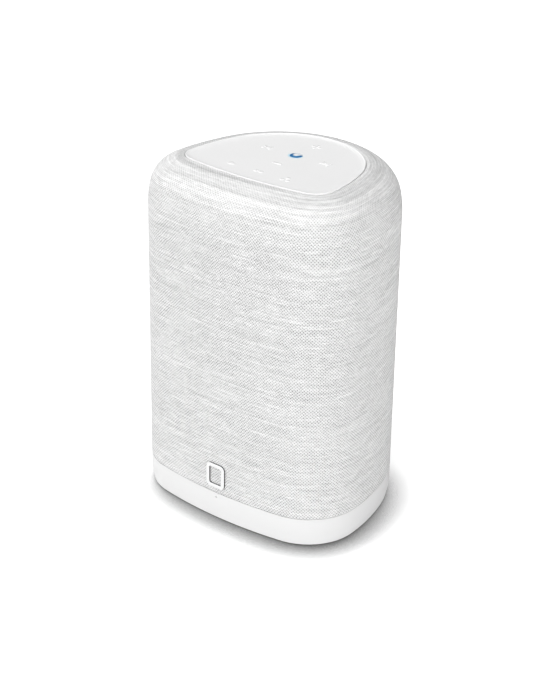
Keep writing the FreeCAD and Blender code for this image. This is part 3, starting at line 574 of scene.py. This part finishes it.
def fabric_cover():
    """The knitted cover: tucked in over the base, up the wall, over the shoulder and into the panel's gap."""
    hem_radius, roll_radius, cloth_thick, seam_depth = 0.6, 0.8, 0.8, 0.5
    hem_gap, wall_start, inside, closest, top = 0.05, 2.0, 0.15, 0.05, cover_high
    hem = arc(hem_radius, SEAM_Z + hem_radius + hem_gap, hem_radius, 270, 180, 4)
    body = shoulder(SEAM_Z + wall_start, top, 12)
    edge = EDGE_INSET + inside
    roll = arc(edge - roll_radius, top - roll_radius, roll_radius, 90, 0, 5)
    rings = hem + body[:-1] + roll + [(edge, top - 2.2), (edge, top - 3.2)]
    rings = [r for i, r in enumerate(rings) if i == 0 or math.dist(r, rings[i - 1]) > closest]
    piece = wrap("fabric_cover", rings)
    tall = lay_cloth_map(piece, rings)
    for number, (inset, z) in enumerate(rings):       # the sewn join down the middle of the back
        piece.data.vertices[number * STATIONS].co = place(0, inset + seam_depth, z)
    thick = piece.modifiers.new("cloth thickness", "SOLIDIFY")
    thick.thickness, thick.offset = cloth_thick * MM, -1
    edit(piece)
    bpy.ops.mesh.select_all(action="SELECT")
    bpy.ops.mesh.normals_make_consistent(inside=False)
    leave()
    smooth(piece, 60)
    apply_all(piece)
    settle(piece, FINISH["fabric"], "fabric", "fabric_sleeve")


LENS_RADIUS, LENS_BORE, PAD_RADIUS, RIM_GAP = 4.5, 2.85, 2.8, 0.05


def touch_panel():
    """The panel: a rounded lip round a shallow dish, bored for the light ring."""
    gap, lip, lip_flat = 0.4, 0.4, 0.3
    edge, top, floor = EDGE_INSET + gap, panel_high[2], LIGHT_TOP
    rings = straight((edge, panel_low[2]), (edge, top - lip), 2)
    rings += arc(edge + lip, top - lip, lip, 180, 90, 4)[1:]
    rings += arc(edge + lip + lip_flat, top - lip, lip, 90, 20, 3)
    rings += [(edge + 2.2, floor + 0.3), (edge + 4, floor + 0.1), (edge + 7, floor)]
    piece = wrap("touch_panel", rings)
    fill_ends(piece)
    tidy_normals(piece)
    bored(piece, [rod("hole", 0, LIGHT_Y, panel_low[2] - 1, LENS_RADIUS + RIM_GAP, 8, sides=96)])
    smooth(piece)
    settle(piece, FINISH["panel_white"], "panel_white", "top_panel")


def light_and_pad():
    """The ring lens round the centre touch pad, with softened edges."""
    lens_proud, pad_proud = 0.2, 0.25
    low, top = panel_low[2], LIGHT_TOP + lens_proud
    lens = rod("status_ring_lens", 0, LIGHT_Y, low, LENS_RADIUS, top - low, sides=96)
    bored(lens, [rod("core", 0, LIGHT_Y, low - 1, LENS_BORE, 8, sides=96)])
    bevelled(lens, 0.15)
    settle(lens, FINISH["light_blue"], "light_blue", "status_light_ring")
    pad = rod("centre_touch_pad", 0, LIGHT_Y, low, PAD_RADIUS, top + pad_proud - low, sides=96)
    bevelled(pad, 0.4, 5)
    settle(pad, FINISH["pad_white"], "touch_white", "play_touch_pad")


def join(name, pieces):
    """Join pieces into one object."""
    only(pieces[0])
    for piece in pieces:
        piece.select_set(True)
    bpy.ops.object.join()
    pieces[0].name = pieces[0].data.name = name
    return pieces[0]


def touch_marks():
    """Raised marks: three presets of dots in front, and a cross of arrows, plus and minus round the pad."""
    step, low, tall = 23.5, LIGHT_TOP - 0.1, 0.3      # spacing; the marks stand 0.2 proud of the panel

    def dots(name, x, y, spots, radius):
        return join(name, [rod("dot", x + a, y + b, low, radius, tall, sides=40) for a, b in spots])

    def bar(x, y, wide, deep):
        return block("bar", (x - wide / 2, y - deep / 2, low), (x + wide / 2, y + deep / 2, low + tall))

    def arrow(name, x, y, way):
        """A triangle and a bar at its tip, pointing along way (1 right, -1 left)."""
        head, middle = rod("head", x, y, low, 3.5, tall, sides=3), Vector((x, y, 0)) * MM
        turn = Matrix.Rotation(math.radians(-90 * way), 4, "Z")
        head.data.transform(Matrix.Translation(middle) @ turn @ Matrix.Translation(-middle))
        return join(name, [head, bar(x + way * 4.25, y, 1.4, 6.0)])

    def plus(name, x, y, wide, deep):
        """One bar with a short block on each side, so that no faces overlap."""
        ends = [bar(x, y + way * (wide + deep) / 4, deep, (wide - deep) / 2) for way in (-1, 1)]
        return join(name, [bar(x, y, wide, deep)] + ends)

    front_y, louder_y, quieter_y = LIGHT_Y - 40.5, LIGHT_Y + 22.5, LIGHT_Y - 20.5
    bar_wide, bar_deep = 7.0, 2.2
    marks = [
        dots("preset_mark_1", -step, front_y, [(0, 0)], 2.5),
        dots("preset_mark_2", 0, front_y, [(-2.1, 0), (2.1, 0)], 1.7),
        dots("preset_mark_3", step, front_y, [(-2.3, -1.5), (2.3, -1.5), (0, 2.1)], 1.6),
        arrow("previous_mark", -step, LIGHT_Y, -1),
        arrow("next_mark", step, LIGHT_Y, 1),
        plus("louder_mark", 0, louder_y, bar_wide, bar_deep),
        join("quieter_mark", [bar(0, quieter_y, bar_wide, bar_deep)]),
    ]
    for mark in marks:
        bevelled(mark, 0.1, 2)
        settle(mark, FINISH["touch_white"], "touch_white")


def base_shell():
    """The white base: an upright band that curves in to the floor, cut for the recess and the microphone."""
    wall, tuck, curve_z = 2.5, 2.0, 13.0
    low, top = base_low[2], SEAM_Z
    sweep = (tuck ** 2 + (curve_z - low) ** 2) / (2 * tuck)
    tilt = math.degrees(math.asin((curve_z - low) / sweep))
    outer = arc(sweep, curve_z, sweep, 180, 180 + tilt, 10)
    inner = [(i + wall, z) for i, z in outer]
    rings = [(0.25, top), (0.06, top - 0.1), (0, top - 0.35)] + outer[:-1]
    rings += [(tuck - 0.3, low + 0.35), (tuck + 0.05, low + 0.06), (tuck + 0.4, low)]
    rings += [(tuck + wall, low)] + inner[-2::-1] + [(wall, top)]
    piece = wrap("base_shell", rings, loop=True)
    tidy_normals(piece)
    recess_low, recess_high = corners("connector_tray")
    half, sill, head, behind = recess_high[0] - 2, 5.4, 19.5, 95
    window = block("window", (-half, recess_low[1] - 4, sill), (half, behind, head))
    bevel = window.modifiers.new("round", "BEVEL")
    bevel.width, bevel.segments = 1.6 * MM, 4
    apply_all(window)
    hole_z, hole_radius = corners("microphone_capsule")[0][2] + 3, 0.6
    hole = rod("hole", 0, FRONT_Y - 5, hole_z, hole_radius, 12, along="Y", sides=32)
    bored(piece, [window, hole])
    smooth(piece, 35)
    settle(piece, FINISH["white_shell"], "white_shell", "base_skirt")


def round_along_y(shape, radius, steps):
    """Round a box's four edges that run front to back."""
    mesh = edit(shape)
    for edge in mesh.edges:
        run = edge.verts[0].co - edge.verts[1].co
        edge.select = abs(run.y) > 0.9 * run.length
    bpy.ops.mesh.bevel(offset=radius * MM, segments=steps, affect="EDGES")
    leave()


def badge_layer(name, low, high, shrink, near, far):
    """One layer of the badge: a rounded ring that follows the cover's curve from near to far proud of it."""
    thick, band, outer_round, inner_round = 2.0, 2.6 - shrink, 3.6 - shrink, 1.4
    outer = block(name, (low[0] + shrink, 0, low[2] + shrink), (high[0] - shrink, thick, high[2] - shrink))
    inner = block("window", (low[0] + band, -4, low[2] + band), (high[0] - band, thick + 4, high[2] - band))
    round_along_y(outer, outer_round, 8)
    round_along_y(inner, inner_round, 8)
    bored(outer, [inner])
    bevelled(outer, 0.3, 3, 50)
    for vertex in outer.data.vertices:               # the flat layer is bent onto the cover's curve
        share = vertex.co.y / MM / thick
        radius = FRONT_RADIUS + far + (near - far) * share
        vertex.co.y = (FRONT_CENTRE - math.sqrt(radius ** 2 - (vertex.co.x / MM) ** 2)) * MM
    return outer


def badge():
    """A plain ring badge: a gloss white face on a dark body; the dark body is painted shade on its sides."""
    low, high = corners("front_badge")
    proud, face_thick, sunk, inside_face = FRONT_Y - low[1], 0.3, 0.4, 0.02
    face = badge_layer("front_badge_ring", low, high, 0, proud - face_thick, proud)
    settle(face, FINISH["badge_white"], "badge_white", "front_badge")
    # painted shade: a dark layer under the face that darkens the badge's side walls
    body = badge_layer("front_badge_shade_body", low, high, inside_face, -sunk, proud - 0.28)
    settle(body, FINISH["dark_plastic"], "dark_plastic")


# ---------------------------------------------------------------- underside
def foot_ring():
    """The rubber foot: a flat ring with softened edges and two shallow grooves in its tread."""
    high = corners("foot_pad")[1]
    outer, inner, top = base_high[0] - high[0], 12.0, high[2]
    rings = [(outer, top), (outer, 0.3), (outer + 0.1, 0.09), (outer + 0.3, 0)]
    for groove in (outer + 1.5, inner - 1.9):
        rings += [(groove, 0), (groove + 0.12, 0.3), (groove + 0.4, 0.3), (groove + 0.52, 0)]
    rings += [(inner - 0.3, 0), (inner - 0.1, 0.09), (inner, 0.3), (inner, top)]
    piece = wrap("foot_ring", rings, loop=True)
    tidy_normals(piece)
    smooth(piece, 35)
    settle(piece, FINISH["rubber"], "rubber", "foot_pad")


SCREW_SPOTS = [(x * side, y) for x, y in ((70, -28), (58, 22), (32, -57.5)) for side in (1, -1)]


def underside_plate():
    """The bottom cover, with a raised rib round its middle and a countersink for each screw."""
    plate_low, plate_high = corners("bottom_cover")
    low, high = plate_low[2], plate_high[2]
    edge, rib, proud = base_high[0] - plate_high[0], 26.0, 0.35
    rings = [(edge, high), (edge, low + 0.35), (edge + 0.1, low + 0.1), (edge + 0.35, low)]
    rings += [(rib, low), (rib + 0.3, low - proud), (rib + 1.2, low - proud), (rib + 1.5, low)]
    piece = wrap("underside_plate", rings)
    fill_ends(piece)
    tidy_normals(piece)
    seats = [rod("seat", x, y, low - 1, 3.3, 2.4, sides=40) for x, y in SCREW_SPOTS]
    bored(piece, seats)
    smooth(piece, 35)
    settle(piece, FINISH["dark_plastic"], "dark_plastic", "bottom_cover")


def cross_head_screws():
    """Six pan-head screws with a cross recess: one is made, and the others are copies of it."""
    low, high = [c[2] for c in corners("bottom_screws")]
    head_radius, head_tall, shank_radius, shank_start = 3.0, 1.2, 1.5, 1.15
    arm_long, arm_wide, arm_deep = 1.9, 0.4, 0.8
    x, y = SCREW_SPOTS[0]
    head = rod("screw", x, y, low, head_radius, head_tall, sides=40)
    bored(head, [block("slot", (x - a, y - b, low - 1), (x + a, y + b, low + arm_deep))
                 for a, b in ((arm_long, arm_wide), (arm_wide, arm_long))])
    bevelled(head, 0.15, 2)
    shank = rod("shank", x, y, low + shank_start, shank_radius, high - low - shank_start, sides=24)
    screw = join("screw", [head, shank])
    made = [screw]
    for to_x, to_y in SCREW_SPOTS[1:]:
        only(screw)
        bpy.ops.object.duplicate()
        twin = bpy.context.object
        twin.data.transform(Matrix.Translation(Vector((to_x - x, to_y - y, 0)) * MM))
        made.append(twin)
    screws = join("underside_screws", made)
    smooth(screws)
    settle(screws, FINISH["steel"], "steel", "bottom_screws")


# ---------------------------------------------------------------- connectors in the recess at the back
def through_face(x, z, wide, tall, deep, face):
    """A cutter that goes deep into a connector's face."""
    return block("cutter", (x - wide / 2, face - deep, z - tall / 2), (x + wide / 2, face + 5, z + tall / 2))


def mains_socket():
    """Two-pin mains inlet: a slot with round ends, and two pins with domed tips."""
    low, high = corners("mains_inlet")
    x, _, z = middle_of("mains_inlet")
    face, end, reach, deep, pin_radius = high[1], 4.1, 4.2, 13.0, 1.2
    housing = block("mains_inlet_housing", low, high)
    cutters = [through_face(x, z, reach * 2, end * 2, deep, face)]
    cutters += [rod("end", x + side * reach, face - deep, z, end, deep + 5, along="Y") for side in (1, -1)]
    bored(housing, cutters)
    bevelled(housing, 0.3, 3, 50)
    settle(housing, FINISH["dark_plastic"], "dark_plastic", "mains_inlet")
    back, tip = [c[1] for c in corners("mains_inlet_pins")]
    pins = join("mains_inlet_pin_pair", [
        rod("pin", x + side * 4.3, back, z, pin_radius, tip - back, along="Y", sides=32) for side in (1, -1)])
    bevelled(pins, 0.6, 5)
    settle(pins, FINISH["steel"], "steel", "mains_inlet_pins")


def network_port():
    """Network socket: a mouth with a latch step, eight sprung contacts and two small lamps."""
    low, high = corners("network_socket")
    x, _, z = middle_of("network_socket")
    face, wide, tall, deep = high[1], 11.7, 8.3, 12.0
    latch_widths, lamp_reach, contacts, pitch = (6.2, 3.4), 6.9, 8, 1.02
    housing = block("network_socket_housing", low, high)
    cutters = [through_face(x, z, wide, tall, deep, face)]
    cutters += [through_face(x, z - tall / 2 - 0.5, w, 1.6, deep, face) for w in latch_widths]
    lamp_spots = [x + side * lamp_reach for side in (1, -1)]
    cutters += [through_face(at, z + 4.6, 1.2, 1.6, 0.3, face) for at in lamp_spots]
    bored(housing, cutters)
    bevelled(housing, 0.15, 2, 50)
    settle(housing, FINISH["dark_plastic"], "dark_plastic", "network_socket")
    wires = []
    for number in range(contacts):
        at = x + (number - (contacts - 1) / 2) * pitch
        wires.append(block("wire", (at - 0.2, face - 11.5, z + tall / 2 - 1.0),
                           (at + 0.2, face - 2.2, z + tall / 2 - 0.6)))
    wires = join("network_contacts", wires)
    bevelled(wires, 0.1, 2)
    settle(wires, FINISH["gold"], "copper")
    lamps = join("network_lamps", [
        block("lamp", (at - 0.55, face - 0.3, z + 3.85), (at + 0.55, face - 0.02, z + 5.35))
        for at in lamp_spots])
    bevelled(lamps, 0.1, 2)
    settle(lamps, FINISH["led"], "led")


def service_port():
    """Small service socket: a pressed steel shell round a tongue with its contacts."""
    low, high = corners("service_usb_socket")
    x, _, z = middle_of("service_usb_socket")
    walls, deep = 0.8, 5.5
    shell = block("service_port_shell", low, high)
    mouth = through_face(x, z, high[0] - low[0] - walls, high[2] - low[2] - walls, deep, high[1])
    for shape, radius in ((shell, 1.0), (mouth, 0.7)):
        round_along_y(shape, radius, 6)
    bored(shell, [mouth])
    bevelled(shell, 0.1, 2, 50)
    settle(shell, FINISH["steel"], "steel", "service_usb_socket")
    low, high = corners("service_usb_tongue")
    tongue = block("service_port_tongue", low, high)
    bevelled(tongue, 0.15, 2)
    settle(tongue, FINISH["dark_plastic"], "dark_plastic", "service_usb_tongue")
    pad_pitch, pad_half = 0.8, 0.22
    pads = join("service_port_contacts", [
        block("pad", (x + n * pad_pitch - pad_half, low[1] + 0.3, low[2] - 0.06),
              (x + n * pad_pitch + pad_half, high[1] - 0.5, low[2] + 0.1)) for n in range(-2, 3)])
    bevelled(pads, 0.05, 1)
    settle(pads, FINISH["gold"], "copper")


def audio_jack():
    """Audio socket: a flanged barrel with a plated collar in its mouth."""
    low, high = corners("audio_socket")
    x, face, axis_z = middle_of("audio_socket")[0], high[1], 12.45
    bore, deep, plating, nose_long, nose_radius = 1.8, 13.0, 0.65, 3.2, 3.6
    z, wall = axis_z, face - nose_long
    box = block("audio_socket_barrel", (x - 5, low[1], z - 5), (x + 5, wall, z + 5))
    bevelled(box, 0.4, 2)
    nose = rod("nose", x, wall - 0.2, z, nose_radius, face - wall + 0.2, along="Y", sides=64)
    bevelled(nose, 0.35, 3)
    for shape in (box, nose):
        bored(shape, [rod("bore", x, face - deep, z, bore + plating, deep + 2, along="Y", sides=48)])
    barrel = join("audio_socket_barrel", [box, nose])
    smooth(barrel)
    settle(barrel, FINISH["dark_plastic"], "dark_plastic", "audio_socket")
    collar = rod("audio_socket_collar", x, face - deep + 0.1, z, bore + plating - 0.01, deep + 0.05,
                 along="Y", sides=64)
    bored(collar, [rod("bore", x, face - deep + 0.6, z, bore, deep + 2, along="Y", sides=64)])
    bevelled(collar, 0.12, 2, 50)
    settle(collar, FINISH["gold"], "copper")


def setup_key():
    """The set-up button: a dished cap on a flanged stem, which rides with its own body."""
    low, high = corners("setup_button")
    x, _, z = middle_of("setup_button")
    flange, front, back = 59.7, high[1], low[1]
    cap_radius, flange_radius, stem_radius, dish_radius, dish_deep = 2.6, 3.6, 1.5, 7, 0.35
    cap = rod("setup_key", x, flange, z, cap_radius, front - flange, along="Y", sides=64)
    dish_y = front + (dish_radius - dish_deep)
    bpy.ops.object.select_all(action="DESELECT")
    bpy.ops.mesh.primitive_uv_sphere_add(segments=64, ring_count=32, radius=dish_radius * MM,
                                         location=Vector((x, dish_y, z)) * MM)
    bored(cap, [fresh("dish")])
    bevelled(cap, 0.3, 4, 30)
    flange_disc = rod("flange", x, flange - 1, z, flange_radius, 1.05, along="Y", sides=64)
    stem = rod("stem", x, back, z, stem_radius, flange - 0.95 - back, along="Y", sides=40)
    key = join("setup_key", [cap, bevelled(flange_disc, 0.15, 2), bevelled(stem, 0.2, 2)])
    smooth(key)
    settle(key, FINISH["button_grey"], "button_grey", "setup_button", body="setup_button_cap")


# ---------------------------------------------------------------- floor, light and camera
DARK_SIDE = (0.50, 0.86, 0.0)            # direction of the room's darker corner
FILL = (0.68, 0.03)                      # the room's glow, from its bright side to its dark corner
FLOOR_LIFT = 0.70                        # the floor's own glow, which only the camera sees
SHADE_REACH = 0.031                      # how far from the base the floor's contact shade starts
SHADE_LEAN = (-0.50, 0.52, 0.69)         # the way the floor looks for what shades it
SHADE_RANGE, DEEPEST_SHADE = (0.33, 0.88), 0.08
LAMP_AIM = (0, 0, 0.12)
LAMPS = [("key", (-1.2, -1.5, 1.35), 1.2, 9.2), ("top", (-0.15, -0.55, 2.2), 1.4, 20.0),
         ("front", (-0.8, -2.3, 0.5), 1.5, 8.6), ("side", (2.5, -0.3, 0.6), 1.2, 30.0)]   # size, watts
AZIMUTH, ELEVATION, ROLL = 38.64, 26.05, 0.9                          # the camera's angles in degrees
AIM, DISTANCE, LENS = (0.00395, -0.02132, 0.11454), 1.2457, 91.656    # metres; lens in mm for a 36 mm frame


def lit_floor():
    """A white floor with a contact shade that only the camera sees."""
    bpy.ops.object.select_all(action="DESELECT")
    bpy.ops.mesh.primitive_plane_add(size=12, location=(0, 0, 0))
    floor = fresh("floor")
    material, tree, shader = new_material("white floor")
    lean = add(tree, "ShaderNodeCombineXYZ", X=SHADE_LEAN[0], Y=SHADE_LEAN[1], Z=SHADE_LEAN[2])
    contact = add(tree, "ShaderNodeAmbientOcclusion", {"samples": 8}, Distance=SHADE_REACH,
                  Normal=lean.outputs[0])
    seen = add(tree, "ShaderNodeLightPath").outputs["Is Camera Ray"]
    shade = rescale(tree, contact.outputs["AO"], *SHADE_RANGE, DEEPEST_SHADE, 1.0)
    shade = maths(tree, "MAXIMUM", shade, maths(tree, "SUBTRACT", 1.0, seen))
    white = blend_colour(tree, shade, (0, 0, 0, 1), (0.85, 0.85, 0.85, 1))
    tree.links.new(white, shader.inputs["Base Color"])
    tree.links.new(white, shader.inputs["Emission Color"])
    tree.links.new(maths(tree, "MULTIPLY", seen, FLOOR_LIFT), shader.inputs["Emission Strength"])
    shader.inputs["Roughness"].default_value = 0.9
    shader.inputs["Specular IOR Level"].default_value = 0.0
    floor.data.materials.append(material)


def bright_room():
    """A room that is white to the camera and lights the piece unevenly."""
    world = bpy.data.worlds.new("studio")
    bpy.context.scene.world = world
    world.use_nodes = True
    tree = world.node_tree
    tree.nodes.clear()
    seen = add(tree, "ShaderNodeBackground", Color=(1, 1, 1, 1), Strength=1.05)
    way = add(tree, "ShaderNodeTexCoord").outputs["Generated"]
    toward = add(tree, "ShaderNodeVectorMath", {"operation": "DOT_PRODUCT"}, i0=way, i1=DARK_SIDE)
    glow = rescale(tree, toward.outputs["Value"], -0.3, 0.8, *FILL)
    fill = add(tree, "ShaderNodeBackground", Color=(1, 1, 1, 1), Strength=glow)
    rays = add(tree, "ShaderNodeLightPath")
    mixed = add(tree, "ShaderNodeMixShader", i0=rays.outputs["Is Camera Ray"], i1=fill.outputs[0],
                i2=seen.outputs[0])
    add(tree, "ShaderNodeOutputWorld", Surface=mixed.outputs[0])


def soft_lamps():
    """Round lamps that all point at the piece."""
    for name, spot, size, watts in LAMPS:
        light = bpy.data.lights.new(name, "AREA")
        light.shape, light.size, light.energy = "DISK", size, watts
        lamp = bpy.data.objects.new(name, light)
        bpy.context.collection.objects.link(lamp)
        lamp.location = spot
        lamp.rotation_euler = (Vector(LAMP_AIM) - Vector(spot)).to_track_quat("-Z", "Y").to_euler()


def camera():
    azimuth, elevation, roll = [math.radians(a) for a in (AZIMUTH, ELEVATION, ROLL)]
    back = Vector((math.sin(azimuth) * math.cos(elevation), -math.cos(azimuth) * math.cos(elevation),
                   math.sin(elevation)))
    flat_right = Vector((math.cos(azimuth), math.sin(azimuth), 0))
    flat_up = back.cross(flat_right)
    right = flat_right * math.cos(roll) + flat_up * math.sin(roll)
    up = back.cross(right)
    data = bpy.data.cameras.new("camera")
    data.sensor_width, data.lens = 36.0, LENS
    data.clip_start, data.clip_end = 0.05, 30
    eye = bpy.data.objects.new("camera", data)
    bpy.context.collection.objects.link(eye)
    turn = Matrix((right, up, back)).transposed().to_4x4()
    eye.matrix_world = Matrix.Translation(Vector(AIM) + back * DISTANCE) @ turn
    bpy.context.scene.camera = eye


camera()
lit_floor()
bright_room()
soft_lamps()
bpy.context.scene.view_settings.view_transform = "Standard"
dress_cad_nodes()
fabric_cover()
touch_panel()
light_and_pad()
touch_marks()
base_shell()
badge()
foot_ring()
underside_plate()
cross_head_screws()
mains_socket()
network_port()
service_port()
audio_jack()
setup_key()
